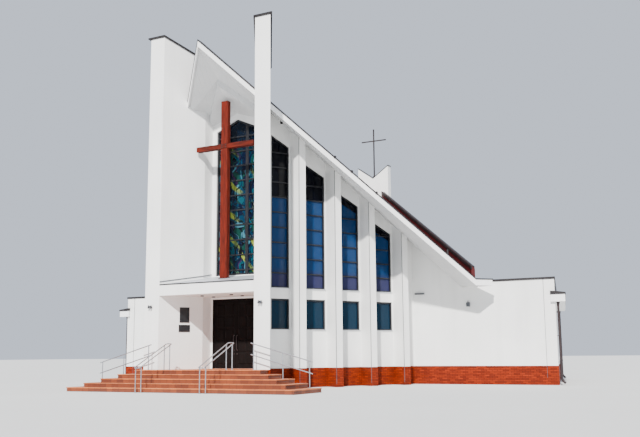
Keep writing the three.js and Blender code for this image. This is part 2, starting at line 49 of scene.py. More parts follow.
# The building's main levels and lines
FLOOR = 0.8
LOWER_SILL, LOWER_HEAD, UPPER_SILL = 2.37, 3.65, 4.08
WALL_TURN = math.radians(29.5)
SIN, COS = math.sin(WALL_TURN), math.cos(WALL_TURN)
WALL_START = np.array([1.4, 2.6])
PIER_END, BAY, PIER_WIDE, PIER_OUT, BAYS = 1.312, 1.802, 0.326, 0.734, 4
WING_Y, WING_X, WING_BACK_X, REAR_Y, PARAPET = 9.18, 11.57, 9.8, 17.9, 4.52
SIDE_TURN = math.atan((WING_X - WING_BACK_X) / (REAR_Y - WING_Y))
SIDE_LONG = math.hypot(WING_X - WING_BACK_X, REAR_Y - WING_Y)
VERGE_START, VERGE_X, TAIL_Y, GABLE_Y = -0.705, 8.65, 17.3, 16.58
TAIL_SLOPE = (TAIL_Y - VERGE_START - VERGE_X) / VERGE_X
FIN_PLAN = np.array([[2.25, 0], [2.96, 0], [1.4, 2.6], [1.052, 2.797], [1.24, 2.51], [1.24, 2.21],
                     [1.29, 1.69]])
FIN_HIGH, FIN_FALL = 14.75, 0.385
ROOF_HIGH, ROOF_ACROSS, ROOF_BACK = 13.914, 0.912, 0.19
SOFFIT_HIGH, SOFFIT_ACROSS, SOFFIT_BACK = 13.4, 0.79, 0.285
CANOPY_HIGH, CANOPY_RISE = 4.19, 0.185


# Shapes as arrays

def unit(vectors):
    """Vectors divided by their own lengths."""
    return vectors / np.linalg.norm(vectors, axis=-1, keepdims=True)


def hoops(rings):
    """A closed body through rings of points: each ring's points are joined to the same points of the
    next ring by four-sided faces, and the first and last rings are filled. Faces are turned so that
    the sum of a . (b x c) / 6 over the body's triangles, its volume, is positive."""
    rings = np.asarray(rings, float)
    count, sides = rings.shape[:2]
    ring, corner = np.meshgrid(np.arange(count - 1), np.arange(sides), indexing="ij")
    after = (corner + 1) % sides
    quads = np.stack([ring * sides + corner, ring * sides + after, (ring + 1) * sides + after,
                      (ring + 1) * sides + corner], -1).reshape(-1, 4)
    points = rings.reshape(-1, 3)
    first, last = np.arange(sides)[::-1], np.arange(sides) + (count - 1) * sides
    fans = [np.stack([np.full(sides - 2, cap[0]), cap[1:-1], cap[2:]], -1) for cap in (first, last)]
    triangles = np.concatenate([quads[:, [0, 1, 2]], quads[:, [0, 2, 3]], *fans])
    middle = points.mean(0)
    a, b, c = (points[triangles[:, k]] - middle for k in range(3))
    faces = [*quads.tolist(), first.tolist(), last.tolist()]
    if np.einsum("ij,ij->i", a, np.cross(b, c)).sum() < 0:
        faces = [face[::-1] for face in faces]
    return points, faces


def lattice(points, uv):
    """An open sheet over a grid of points: neighbours in rows and columns make four-sided faces."""
    rows, columns = points.shape[:2]
    row, column = np.meshgrid(np.arange(rows - 1), np.arange(columns - 1), indexing="ij")
    start = (row * columns + column).reshape(-1)
    faces = np.stack([start, start + 1, start + columns + 1, start + columns], -1)
    return points.reshape(-1, 3), faces.tolist(), uv.reshape(-1, 2)


def together(shapes):
    """Several shapes as one: their points in a row, and each one's faces counted on from the last."""
    points, faces, uvs, start = [], [], [], 0
    for shape in shapes:
        points.append(shape[0])
        faces += [[index + start for index in face] for face in shape[1]]
        uvs.append(shape[2] if len(shape) > 2 else np.zeros((len(shape[0]), 2)))
        start += len(shape[0])
    return np.concatenate(points), faces, np.concatenate(uvs)


def rectangle(low, high, bottom, top):
    """A rectangle's four corners, from its lowest pair of values round."""
    return [[low, bottom], [high, bottom], [high, top], [low, top]]


def raised(plan, height):
    """The points of a plan at a height, or each at its own."""
    return np.column_stack([plan, np.broadcast_to(height, len(plan))])


def over(outline, low, high):
    """A body over a plan outline: its lower and upper corners have the heights low and high."""
    return hoops([raised(outline, low), raised(outline, high)])


def block(x, y, z):
    """A box between two places on each axis."""
    return over(rectangle(*x, *y), *z)


def mirrored(outline, side):
    """A plan outline with x times side, so -1 gives the left half."""
    return np.asarray(outline, float) * [side, 1]


def in_order(path, side):
    """A path's points, turned round on the left side, so that its right-hand side stays outside."""
    return path if side == RIGHT else path[::-1]


def span(side, near, far):
    """Two distances from the building's middle line as the lower and the higher x on a side."""
    return sorted((side * near, side * far))


def grown(outline, distance):
    """A plan outline with each edge moved outwards by a distance: a corner lies where the two moved
    edges cross, at its own place plus distance (n + m) / (1 + n . m) for edge normals n and m."""
    outline = np.asarray(outline, float)
    ahead = unit(np.roll(outline, -1, 0) - outline)
    area = np.sum(outline[:, 0] * np.roll(outline[:, 1], -1) - np.roll(outline[:, 0], -1) * outline[:, 1])
    out = np.stack([ahead[:, 1], -ahead[:, 0]], -1) * np.sign(area)
    before = np.roll(out, 1, 0)
    return outline + distance * (out + before) / (1 + np.sum(out * before, 1, keepdims=True))


def along_path(path, profile, lengths=False):
    """A profile carried along a plan path with heights. A profile point (a, b) stands a to the right
    of the path and b above it, and at a bend it moves along the mitre, where both stretches agree."""
    path, profile = np.asarray(path, float), np.asarray(profile, float)
    step = np.diff(path[:, :2], axis=0)
    normal = unit(np.stack([step[:, 1], -step[:, 0]], -1))
    before, after = np.vstack([normal[:1], normal]), np.vstack([normal, normal[-1:]])
    mitre = (before + after) / (1 + np.sum(before * after, 1, keepdims=True))
    rings = np.zeros((len(path), len(profile), 3))
    rings[..., :2] = path[:, None, :2] + profile[None, :, :1] * mitre[:, None]
    rings[..., 2] = path[:, None, 2] + profile[None, :, 1]
    body = hoops(rings)
    if not lengths:
        return body
    run = np.concatenate([[0], np.cumsum(np.linalg.norm(step, axis=1))])
    uv = np.stack([np.repeat(run, len(profile)), rings[..., 2].reshape(-1)], -1)
    return (*body, uv)


def tube(path, radius, sides=14):
    """A round bar: circles of a radius around each point of a path, square to the path there. The
    circle's first axis is the path's direction crossed with the world axis that it leans on least."""
    path = np.asarray(path, float)
    ahead = unit(np.gradient(path, axis=0))
    least = np.eye(3)[np.argmin(np.abs(ahead).max(0))]
    across = unit(np.cross(ahead, least))
    up = np.cross(ahead, across)
    turn = np.linspace(0, 2 * np.pi, sides, endpoint=False)
    circle = np.cos(turn)[None, :, None] * across[:, None] + np.sin(turn)[None, :, None] * up[:, None]
    return hoops(path[:, None] + np.broadcast_to(radius, len(path))[:, None, None] * circle)


def rod(x, y, low, high, radius, sides=14):
    """An upright round bar between two heights."""
    return tube([[x, y, low], [x, y, high]], radius, sides)


def rounded(corners, radius, steps=5):
    """A path whose inner corners are rounded: each is replaced by points of the curve
    (1-t)^2 a + 2 t (1-t) c + t^2 b between places a and b at a distance radius before and after it."""
    corners = np.asarray(corners, float)
    t = np.linspace(0, 1, steps)[:, None]
    parts = [corners[:1]]
    for last, corner, following in zip(corners[:-2], corners[1:-1], corners[2:]):
        a, b = corner + unit(last - corner) * radius, corner + unit(following - corner) * radius
        parts.append((1 - t) ** 2 * a + 2 * t * (1 - t) * corner + t ** 2 * b)
    return np.concatenate([*parts, corners[-1:]])


def disc(middle, axis, radius, thick):
    """A short round plate: a tube of the given thickness along one of the axes from its middle."""
    path = np.array([middle, np.asarray(middle, float) + np.asarray(axis, float) * thick])
    return tube(path, radius, 20)


# Faces that pieces stand on

def wall_at(along, out):
    """A place on the right windowed wall in plan."""
    return WALL_START + along * np.array([SIN, COS]) + out * np.array([COS, -SIN])


def side_wall(side):
    """The windowed wall: a place along it, out from its face and up, as a point."""
    return lambda along, out, z: np.stack([
        side * (WALL_START[0] + along * SIN + out * COS), WALL_START[1] + along * COS - out * SIN,
        z + 0 * along], -1)


def fin_face(side):
    """The inner face of an entrance fin, from its front corner backwards."""
    return lambda along, out, z: np.stack([
        side * (FIN_PLAN[0, 0] - along * SIN - out * COS), along * COS - out * SIN, z + 0 * along], -1)


def flat_wall(y, facing):
    """A wall across the building at y: out from it is towards the front where facing is -1."""
    return lambda along, out, z: np.stack([along, y + facing * out + 0 * along, z + 0 * along], -1)


def on_wall(wall, outline, near, far):
    """A plate on a wall: an outline of (along, height) corners carried from out = near to out = far."""
    outline = np.asarray(outline, float)
    return hoops([wall(outline[:, 0], np.full(len(outline), out), outline[:, 1]) for out in (near, far)])


def roof_top(x, y):
    """The main roof's upper side: from the prow it falls ROOF_ACROSS a metre to the sides and ROOF_BACK
    a metre backwards."""
    return ROOF_HIGH - ROOF_ACROSS * np.abs(x) - ROOF_BACK * (y - VERGE_START)


def soffit_at(x, y):
    """The prow's sloping soffit, which falls SOFFIT_ACROSS and SOFFIT_BACK a metre from x = y = 0."""
    return SOFFIT_HIGH - SOFFIT_ACROSS * np.abs(x) - SOFFIT_BACK * y


def canopy_top(y):
    """The upper side of the door canopy, which rises CANOPY_RISE a metre from front to back."""
    return CANOPY_HIGH + CANOPY_RISE * y


def side_at(along, out):
    """A place in plan beside a wing's outer wall, which turns in towards the back."""
    return [WING_X - along * math.sin(SIDE_TURN) + out * math.cos(SIDE_TURN),
            WING_Y + along * math.cos(SIDE_TURN) + out * math.sin(SIDE_TURN)]


def tail_x(y, inset=0.0):
    """Where the main roof's rear edge, moved in by inset, stands at y."""
    return (TAIL_Y - inset * math.hypot(1, TAIL_SLOPE) - y) / TAIL_SLOPE


def fin_top(outline):
    """A fin's sloping top: FIN_HIGH at the front, and FIN_FALL lower for each metre along the fin, which
    is FIN_FALL / cos of the wall's turn for each metre of y."""
    return FIN_HIGH - FIN_FALL / COS * outline[:, 1]


# Putting pieces into the scene

def piece(name, shape, finish, body="building", instead_of=(), bevel=0.0, thick=0.0):
    """Makes one object of a shape or a list of shapes, moved to the frame: its faces, its plan of
    lengths as a UV map where it has one, its finish, the body that it rides on and the nodes that it
    shows instead of."""
    points, faces, *lengths = together(shape) if isinstance(shape, list) else shape
    mesh = bpy.data.meshes.new(name)
    mesh.from_pydata((points + [0, BACK, 0]).tolist(), [], faces)
    if lengths:
        corners = np.empty(len(mesh.loops), int)
        mesh.loops.foreach_get("vertex_index", corners)
        mesh.uv_layers.new(name="lengths").data.foreach_set("uv", lengths[0][corners].astype("f").ravel())
    mesh.materials.append(finish)
    made = bpy.data.objects.new(name, mesh)
    bpy.context.collection.objects.link(made)
    if thick:
        thickness = made.modifiers.new("thickness", "SOLIDIFY")
        thickness.thickness, thickness.offset = thick, 0
    if bevel:
        edges = made.modifiers.new("worn edges", "BEVEL")
        edges.width, edges.segments, edges.limit_method = bevel, 2, "ANGLE"
    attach(made, body)
    if instead_of:
        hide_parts(*instead_of)


# Finishes

class Finish:
    """A material built up from nodes. Its patterns read the place, which is the Object coordinates, or
    the lengths, which are the piece's UV map."""

    def __init__(self, name, roughness, metallic=0.0, **sockets):
        self.material = bpy.data.materials.new(name)
        self.material.use_nodes = True
        self.tree = self.material.node_tree
        self.shader = self.tree.nodes["Principled BSDF"]
        self.shader.inputs["Roughness"].default_value = roughness
        self.shader.inputs["Metallic"].default_value = metallic
        for socket, value in sockets.items():
            self.shader.inputs[socket.replace("_", " ")].default_value = value
        self.place = self.add("ShaderNodeTexCoord").outputs["Object"]
        self.lengths = self.add("ShaderNodeTexCoord").outputs["UV"]

    def add(self, kind, values=None, **settings):
        """One node, with its settings, and a value or a link for each named socket."""
        node = self.tree.nodes.new(kind)
        for setting, value in settings.items():
            setattr(node, setting, value)
        for socket, value in (values or {}).items():
            if isinstance(value, bpy.types.NodeSocket):
                self.tree.links.new(value, node.inputs[socket])
            else:
                node.inputs[socket].default_value = value
        return node

    def noise(self, scale, detail, stretch=(1, 1, 1)):
        """Soft noise, with its own scale along each axis."""
        place = self.add("ShaderNodeMapping", {"Vector": self.place, "Scale": stretch})
        return self.add("ShaderNodeTexNoise", {"Vector": place.outputs[0], "Scale": scale,
                                               "Detail": detail}).outputs[0]

    def between(self, value, low, high):
        """A value as 0 at low and 1 at high."""
        return self.add("ShaderNodeMapRange", {0: value, 1: low, 2: high}).outputs[0]

    def maths(self, operation, a, b=0.0):
        """Arithmetic on two values."""
        return self.add("ShaderNodeMath", {0: a, 1: b}, operation=operation).outputs[0]

    def mix(self, share, *colours):
        """Two colours, each a link or a tuple of screen values, mixed by a share of the second."""
        first, second = (tone(*colour) if isinstance(colour, tuple) else colour for colour in colours)
        return self.add("ShaderNodeMix", {0: share, 6: first, 7: second}, data_type="RGBA").outputs[2]

    def bricks(self, where, base, shade, joint, gap, soft, wide, high, offset=0.5):
        """Bricks or tiles of two tones in courses, each course offset by a share of a brick's length.
        The joints are gap wide, and soft is the share of that over which they blend."""
        return self.add("ShaderNodeTexBrick", {
            "Vector": where, "Color1": tone(*base), "Color2": tone(*shade), "Mortar": tone(*joint),
            "Scale": 1.0, "Mortar Size": gap, "Mortar Smooth": soft, "Bias": 0.0, "Brick Width": wide,
            "Row Height": high}, offset=offset)

    def colour(self, socket):
        """Links a colour to the shader."""
        self.tree.links.new(socket, self.shader.inputs["Base Color"])

    def roughness(self, value, low, high):
        """Roughness from low to high as a value goes from 0 to 1."""
        spread = self.add("ShaderNodeMapRange", {0: value, 3: low, 4: high}).outputs[0]
        self.tree.links.new(spread, self.shader.inputs["Roughness"])

    def relief(self, height, distance, before=None):
        """Raises the surface by height times a distance in metres."""
        values = {"Height": height, "Distance": distance, "Strength": 1.0}
        if before is not None:
            values["Normal"] = before
        normal = self.add("ShaderNodeBump", values).outputs[0]
        self.tree.links.new(normal, self.shader.inputs["Normal"])
        return normal


def tone(red, green, blue):
    """A colour given as 0 to 255 screen values, made linear."""
    share = np.array([red, green, blue]) / 255
    linear = np.where(share <= 0.04045, share / 12.92, ((share + 0.055) / 1.055) ** 2.4)
    return (*linear.tolist(), 1.0)


def render_finish(name, light, dull, boards=False):
    """Fine painted render: soft patches, faint rain streaks and a sandy grain over slow unevenness, or,
    with boards, over the shallow joints of boards, which lie where x + y + z comes round again."""
    made = Finish(name, 0.85)
    patches = made.between(made.noise(0.45, 4), 0.35, 0.7)
    streaks = made.between(made.noise(1.6, 3, (1, 1, 0.12)), 0.5, 0.8)
    dirt = made.maths("MULTIPLY", made.maths("ADD", patches, streaks), 0.32)
    made.colour(made.mix(dirt, light, dull))
    grain = made.relief(made.noise(70, 4), 0.0015)
    if boards:
        wave = made.add("ShaderNodeTexWave", {"Vector": made.place, "Scale": 2.2, "Distortion": 0.0},
                        bands_direction="DIAGONAL")
        made.relief(made.between(wave.outputs[1], 0.0, 0.12), 0.004, grain)
    else:
        made.relief(made.noise(6, 2), 0.002, grain)
    return made.material


def sheet_finish(name, base, shade, roughness=0.42, metallic=0.5):
    """Coated sheet metal: slow waves in the sheet, dust in patches and fine scratches in the gloss."""
    made = Finish(name, roughness, metallic)
    made.colour(made.mix(made.between(made.noise(1.3, 5), 0.3, 0.75), base, shade))
    made.roughness(made.noise(40, 4, (1, 1, 0.2)), roughness - 0.1, roughness + 0.2)
    made.relief(made.noise(3.5, 2), 0.003)
    return made.material


def brick_finish(name, base, shade, joint, wide, high):
    """Facing bricks in courses, each with its own tone, set in recessed joints. The lengths along and
    up a wall are the piece's own UV map."""
    made = Finish(name, 0.62, Specular_IOR_Level=0.15)
    bond = made.bricks(made.lengths, base, shade, joint, 0.008, 0.3, wide, high)
    stain = made.maths("MULTIPLY", made.between(made.noise(3.0, 5), 0.35, 0.75), 0.35)
    made.colour(made.mix(stain, bond.outputs["Color"], shade))
    made.roughness(made.noise(30, 4), 0.45, 0.8)
    grain = made.relief(made.noise(90, 3), 0.0008)
    made.relief(made.maths("SUBTRACT", 1.0, bond.outputs["Fac"]), 0.004, grain)
    return made.material


def paving_finish(name, base, shade, joint, size):
    """Square floor tiles, and the same tiles on risers: the pattern reads x and y on level faces, and
    x + y and z on upright ones."""
    made = Finish(name, 0.55)
    split = made.add("ShaderNodeSeparateXYZ", {0: made.place})
    facing = made.add("ShaderNodeSeparateXYZ", {0: made.add("ShaderNodeNewGeometry").outputs["Normal"]})
    upward = made.maths("GREATER_THAN", made.maths("ABSOLUTE", facing.outputs[2]), 0.5)
    run = made.add("ShaderNodeCombineXYZ", {0: split.outputs[0], 1: split.outputs[1]}).outputs[0]
    rise = made.add("ShaderNodeCombineXYZ", {0: made.maths("ADD", split.outputs[0], split.outputs[1]),
                                            1: split.outputs[2]}).outputs[0]
    where = made.add("ShaderNodeMix", {0: upward, 4: rise, 5: run}, data_type="VECTOR").outputs[1]
    bond = made.bricks(where, base, shade, joint, 0.005, 0.2, size, size, offset=0.0)
    stain = made.maths("MULTIPLY", made.between(made.noise(2.5, 5), 0.4, 0.8), 0.4)
    made.colour(made.mix(stain, bond.outputs["Color"], shade))
    made.roughness(made.noise(25, 4), 0.4, 0.75)
    made.relief(made.maths("SUBTRACT", 1.0, bond.outputs["Fac"]), 0.003)
    return made.material


def wood_finish(name, base, dark, stretch, roughness):
    """Stained timber: grain lines drawn out along one axis, darker streaks and fine pores."""
    made = Finish(name, roughness, Specular_IOR_Level=0.15)
    streaks = made.noise(5.0, 6, stretch)
    made.colour(made.mix(made.between(streaks, 0.35, 0.7), base, dark))
    made.roughness(streaks, roughness - 0.12, roughness + 0.15)
    made.relief(made.noise(26, 5, stretch), 0.003)
    return made.material


# PAINTED_DARK_ABOVE and PAINTED_DARK_UNDER_HEAD bound where the panes are painted nearly black: painted
# shade and reflection of the overhang.
PAINTED_DARK_ABOVE, PAINTED_DARK_UNDER_HEAD = (7.98, 7.9), (0.3, 0.36)
VIOLET_HIGH, VIOLET_LOW, TEAL = (4.95, 4.6), (3.9, 4.0), (3.9, 3.7)
LEAD_TONES = ((0.0, (8, 18, 40)), (0.3, (10, 42, 62)), (0.55, (14, 64, 76)), (0.72, (12, 50, 44)),
              (0.84, (52, 98, 112)), (0.93, (44, 26, 60)))
LEAD_DARK, LEAD_SCALE, LEAD_STRETCH, LEAD_LEAN = (9.8, 10.9), 1.7, (5.2, 0.02, 1.7), math.radians(9)


def window_finish(name):
    """Tinted panes. Above the heights PAINTED_DARK_ABOVE, and within the distances PAINTED_DARK_UNDER_HEAD
    below a window's head, which are the UV map's second length, they are painted nearly black: painted
    shade and reflection of the overhang.
    The rest is blue with soft upright streaks, the foot of the tall windows is a dull violet between
    VIOLET_LOW and VIOLET_HIGH, and the low windows, below the heights TEAL, are a dark teal."""
    made = Finish(name, 0.1, Specular_IOR_Level=0.15)
    height = made.add("ShaderNodeSeparateXYZ", {0: made.place}).outputs[2]
    below = made.add("ShaderNodeSeparateXYZ", {0: made.lengths}).outputs[1]
    outside_painted_dark = made.maths("MULTIPLY", made.between(height, *PAINTED_DARK_ABOVE),
                          made.between(below, *PAINTED_DARK_UNDER_HEAD))
    streaks = made.between(made.noise(2.2, 3, (1, 1, 0.15)), 0.4, 0.72)
    blue = made.mix(streaks, (10, 48, 90), (22, 50, 84))
    foot = made.maths("MULTIPLY", made.between(height, *VIOLET_HIGH), made.between(height, *VIOLET_LOW))
    violet = made.mix(made.maths("MULTIPLY", foot, 0.8), blue, (44, 40, 70))
    teal = made.mix(made.between(height, *TEAL), violet, (8, 36, 54))
    # Painted shade and reflection of the overhang: near black (3, 4, 12) wherever outside_painted_dark
    # falls to 0.
    made.colour(made.mix(outside_painted_dark, (3, 4, 12), teal))
    made.roughness(made.noise(9, 2), 0.05, 0.16)
    made.relief(made.noise(1.1, 1), 0.004)
    return made.material


def leaded_finish(name):
    """Leaded coloured glass of no picture: small tall pieces, each of one tone from navy over teal to a
    few pale and violet ones, thin bent strokes of yellow-green across them and dark lead between them.
    It turns nearly black towards the top, between the heights LEAD_DARK: painted shade under the prow's
    overhang. A piece is the set of places nearest to one of the scattered points."""
    made = Finish(name, 0.18, Specular_IOR_Level=0.12)
    bend = made.add("ShaderNodeTexNoise", {"Vector": made.place, "Scale": 1.3}).outputs[1]
    warp = made.add("ShaderNodeVectorMath", {0: made.place, 1: bend}, operation="ADD").outputs[0]
    drawn = made.add("ShaderNodeMapping", {"Vector": warp, "Scale": LEAD_STRETCH,
                                           "Rotation": (0, LEAD_LEAN, 0)}).outputs[0]
    scattered = {"Vector": drawn, "Scale": LEAD_SCALE}
    cells = made.add("ShaderNodeTexVoronoi", scattered)
    edge = made.add("ShaderNodeTexVoronoi", scattered, feature="DISTANCE_TO_EDGE").outputs[0]
    pick = made.add("ShaderNodeSeparateColor", {0: cells.outputs["Color"]}).outputs[0]
    tones = made.add("ShaderNodeValToRGB", {0: pick})
    ramp = tones.color_ramp
    ramp.interpolation = "CONSTANT"
    while len(ramp.elements) < len(LEAD_TONES):
        ramp.elements.new(0.5)
    for element, (at, colour) in zip(ramp.elements, LEAD_TONES):
        element.position, element.color = at, tone(*colour)
    waves = made.add("ShaderNodeTexWave", {"Vector": made.place, "Scale": 0.55, "Distortion": 7.0,
                                           "Detail": 2.0, "Detail Scale": 0.5}, bands_direction="DIAGONAL")
    strokes = made.maths("MULTIPLY", made.between(waves.outputs[1], 0.86, 0.95),
                         made.between(made.noise(1.1, 2), 0.44, 0.58))
    tinted = made.mix(strokes, tones.outputs[0], (120, 132, 50))
    height = made.add("ShaderNodeSeparateXYZ", {0: made.place}).outputs[2]
    # Painted shade: the glass darkens towards the top, under the prow's overhang.
    shade = made.between(made.maths("ADD", height, made.noise(0.8, 2)), *LEAD_DARK)
    tinted = made.mix(shade, tinted, (6, 18, 34))
    made.colour(made.mix(made.between(edge, 0.03, 0.06), (6, 8, 12), tinted))
    made.relief(made.between(edge, 0.02, 0.06), -0.004)
    return made.material


def steel_finish(name, base, shade):
    """Brushed stainless steel: fine lines in the gloss and a faint change of tone."""
    made = Finish(name, 0.3, 0.95)
    made.colour(made.mix(made.noise(12, 4), base, shade))
    made.roughness(made.noise(160, 3, (1, 1, 0.1)), 0.22, 0.45)
    return made.material


WHITE = render_finish("white render", (246, 246, 244), (214, 214, 212))
# The soffit boards are a greyer white than the walls: painted shade under the roof's overhang.
SOFFIT = render_finish("white soffit boards", (216, 217, 217), (190, 192, 194), boards=True)
CLINKER = brick_finish("orange clinker plinth", (146, 42, 4), (102, 26, 3), (54, 22, 10), 0.24, 0.071)
TREADS = paving_finish("orange step tiles", (196, 112, 58), (164, 86, 44), (84, 52, 34), 0.3)
# The risers' darker brown is partly painted shade under the tread nosings.
RISERS = paving_finish("brown riser tiles", (132, 62, 28), (98, 44, 22), (48, 28, 20), 0.3)
HALL_FLOOR = paving_finish("pale hall tiles", (206, 200, 190), (184, 176, 166), (120, 114, 106), 0.45)
COPING = sheet_finish("dark coping sheet", (40, 37, 38), (58, 54, 55))
ROOF_RED = sheet_finish("dark red roof sheet", (84, 26, 28), (60, 18, 22), 0.45, 0.35)
FLAT_ROOF = sheet_finish("flat roof felt", (72, 72, 74), (96, 96, 96), 0.8, 0.0)
PIPE = sheet_finish("dark rainwater goods", (44, 34, 36), (62, 50, 50), 0.4, 0.3)
WHITE_TRIM = render_finish("white fascia", (250, 250, 249), (226, 227, 229))
FRAMES = sheet_finish("black window frames", (22, 22, 26), (36, 36, 42), 0.38, 0.3)
SILLS = sheet_finish("pale sill sheet", (196, 200, 206), (168, 172, 180), 0.4, 0.4)
PANES = window_finish("blue tinted panes")
LEADED = leaded_finish("leaded coloured glass")
TIMBER_UP = wood_finish("red timber upright", (104, 26, 9), (56, 16, 8), (4, 4, 0.35), 0.65)
TIMBER_ACROSS = wood_finish("red timber arm", (96, 25, 10), (50, 15, 8), (0.35, 4, 4), 0.65)
DOOR = wood_finish("dark door timber", (13, 5, 4), (7, 3, 3), (5, 5, 0.4), 0.75)
STEEL = steel_finish("brushed steel", (206, 208, 212), (160, 164, 170))
LAMP = sheet_finish("grey fittings", (104, 106, 110), (78, 80, 84), 0.4, 0.6)
STONE = sheet_finish("polished dark stone", (12, 13, 16), (24, 26, 30), 0.45, 0.0)
CROSS_METAL = sheet_finish("dark metal cross", (46, 40, 40), (70, 62, 60), 0.4, 0.7)

# Finishes of the imported nodes

# The soffits, porch ceiling and roof underside take SOFFIT's greyer white, which is painted shade.
NODE_FINISHES = {"soffit": SOFFIT, "porch_ceiling": SOFFIT, "main_roof": SOFFIT,
                 "rear_upstand": ROOF_RED, "wing_roof": FLAT_ROOF, "step": RISERS, "porch_floor": TREADS,
                 "floor_slab": HALL_FLOOR, "door_frame": DOOR, "door_leaf": DOOR, "rear_glass": PANES,
                 "metal_cross": CROSS_METAL}
for node_name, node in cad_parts.items():
    chosen = [finish for start, finish in NODE_FINISHES.items() if node_name.startswith(start)]
    node.data.materials.clear()
    node.data.materials.append(chosen[0] if chosen else WHITE)

# Plinth

PLINTH_THICK = 0.014
PLINTH = [(0, 0), (PLINTH_THICK, 0), (PLINTH_THICK, FLOOR), (0, FLOOR)]


def plinth_line():
    """The right half of the building's foot: the fin, in and out around each pier, and the wing."""
    line = [FIN_PLAN[0], FIN_PLAN[1], wall_at(0, 0)]
    for bay in range(BAYS):
        end = PIER_END + BAY * bay
        start = end - PIER_WIDE
        line += [wall_at(start, 0), wall_at(start, PIER_OUT), wall_at(end, PIER_OUT), wall_at(end, 0)]
    line += [[wall_at((WING_Y - WALL_START[1]) / COS, 0)[0], WING_Y], [WING_X, WING_Y],
             [WING_BACK_X, REAR_Y], [0, REAR_Y]]
    return raised(line, 0)


for side, word in SIDES:
    line = in_order(plinth_line() * [side, 1, 1], side)
    piece(f"plinth_{word}", along_path(line, PLINTH, lengths=True), CLINKER)

# Windows

FRAME_WIDE, FRAME_BACK, FRAME_FRONT, PANE_OUT = 0.07, -0.15, -0.045, -0.12
ROW, ROWS, BAR_HALF, BAR_IN, BAR_CLEAR = 0.642, 9, 0.025, 0.01, 0.05
MULLION_HALF, MULLION_IN = 0.03, 0.005
FIRST_JAMB, JAMB, PANE_IN = 0.06, 0.04, 0.03
SILL_BELOW, SILL_ABOVE, SILL_BACK, SILL_OUT = 0.004, 0.02, FRAME_FRONT - 0.03, 0.045
HEAD_HIGH, HEAD_STEP, HEAD_FALL = 10.6, 0.625, 0.47
LOW_PANE_DROP = 2.2
REAR_WINDOWS, REAR_HALF = (-8.0, -5.2, -2.4, 2.4, 5.2, 8.0), 0.55


def head_line(bay):
    """The sloping head of an upper window: it falls HEAD_FALL a metre within a bay, and from one bay to
    the next HEAD_STEP for each metre that the bay lies farther along."""
    start = BAY * bay
    return lambda along: HEAD_HIGH - HEAD_STEP * start - HEAD_FALL * (along - start)


def level(height):
    """A window head that doesn't slope."""
    return lambda along: height + 0 * along


def window(wall, low, high, sill, head, rows=(), posts=()):
    """A window's frame and bars: four sides inside its opening, a bar at each given height that keeps
    clear of the head, and posts at the given places along."""
    inner_low, inner_high, inner_sill = low + FRAME_WIDE, high - FRAME_WIDE, sill + FRAME_WIDE
    top = [head(low), head(inner_low), head(inner_high), head(high)]
    sides = [rectangle(low, high, sill, inner_sill),
             [[low, inner_sill], [inner_low, inner_sill], [inner_low, top[1]], [low, top[0]]],
             [[inner_high, inner_sill], [high, inner_sill], [high, top[3]], [inner_high, top[2]]],
             [[inner_low, top[1] - FRAME_WIDE], [inner_high, top[2] - FRAME_WIDE],
              [inner_high, top[2]], [inner_low, top[1]]]]
    parts = [on_wall(wall, outline, FRAME_BACK, FRAME_FRONT) for outline in sides]
    for height in rows:
        if min(top[1:3]) - FRAME_WIDE > height + BAR_CLEAR:
            bar = rectangle(inner_low, inner_high, height - BAR_HALF, height + BAR_HALF)
            parts.append(on_wall(wall, bar, FRAME_BACK + BAR_IN, FRAME_FRONT - BAR_IN))
    for place in posts:
        near, far = place - MULLION_HALF, place + MULLION_HALF
        post = [[near, inner_sill], [far, inner_sill], [far, head(far) - FRAME_WIDE],
                [near, head(near) - FRAME_WIDE]]
        parts.append(on_wall(wall, post, FRAME_BACK + MULLION_IN, FRAME_FRONT - MULLION_IN))
    return parts


def pane(wall, low, high, sill, head):
    """A sheet of glass over (along, t): its height is sill + t (head(along) - sill), and its UV map
    holds the length along and the distance below the head."""
    along, t = np.meshgrid(np.linspace(low, high, 5), np.linspace(0, 1, 14), indexing="ij")
    top = head(along)
    z = sill + t * (top - sill)
    return lattice(wall(along, np.full_like(along, PANE_OUT), z), np.stack([along, top - z], -1))


def low_pane(wall, low, high):
    """A low window's glass. Its second UV length starts far below a head, so no part of it gets the painted
    shade and reflection of the overhang.
    """
    points, faces, uv = pane(wall, low, high, LOWER_SILL + PANE_IN, level(LOWER_HEAD - PANE_IN))
    return points, faces, uv + [0, LOW_PANE_DROP]


def sill_sheet(wall, low, high, sill):
    """A thin sheet on a sill, from under the frame to a little in front of the wall."""
    return on_wall(wall, rectangle(low, high, sill - SILL_BELOW, sill + SILL_ABOVE), SILL_BACK, SILL_OUT)


for side, word in SIDES:
    wall = side_wall(side)
    upper_bars, lower_bars, upper_panes, lower_panes, sills = [], [], [], [], []
    for bay in range(BAYS):
        start = FIRST_JAMB if bay == 0 else PIER_END + BAY * (bay - 1) + JAMB
        end = PIER_END + BAY * bay - PIER_WIDE - JAMB
        head = head_line(bay)
        upper_bars += window(wall, start, end, UPPER_SILL, head, UPPER_SILL + ROW * np.arange(1, ROWS + 1))
        lower_bars += window(wall, start, end, LOWER_SILL, level(LOWER_HEAD))
        upper_panes.append(pane(wall, start + PANE_IN, end - PANE_IN, UPPER_SILL + PANE_IN,
                                lambda along, head=head: head(along) - PANE_IN))
        lower_panes.append(low_pane(wall, start + PANE_IN, end - PANE_IN))
        sills += [sill_sheet(wall, start, end, sill) for sill in (LOWER_SILL, UPPER_SILL)]
    for storey, bars in (("upper", upper_bars), ("lower", lower_bars)):
        piece(f"{storey}_frames_{word}", bars, FRAMES, bevel=0.006)
    for storey, panes in (("upper", upper_panes), ("lower", lower_panes)):
        piece(f"{storey}_panes_{word}", panes, PANES, thick=0.02,
              instead_of=[f"{storey}_glass_{word}"])
    piece(f"window_sills_{word}", sills, SILLS, bevel=0.004)

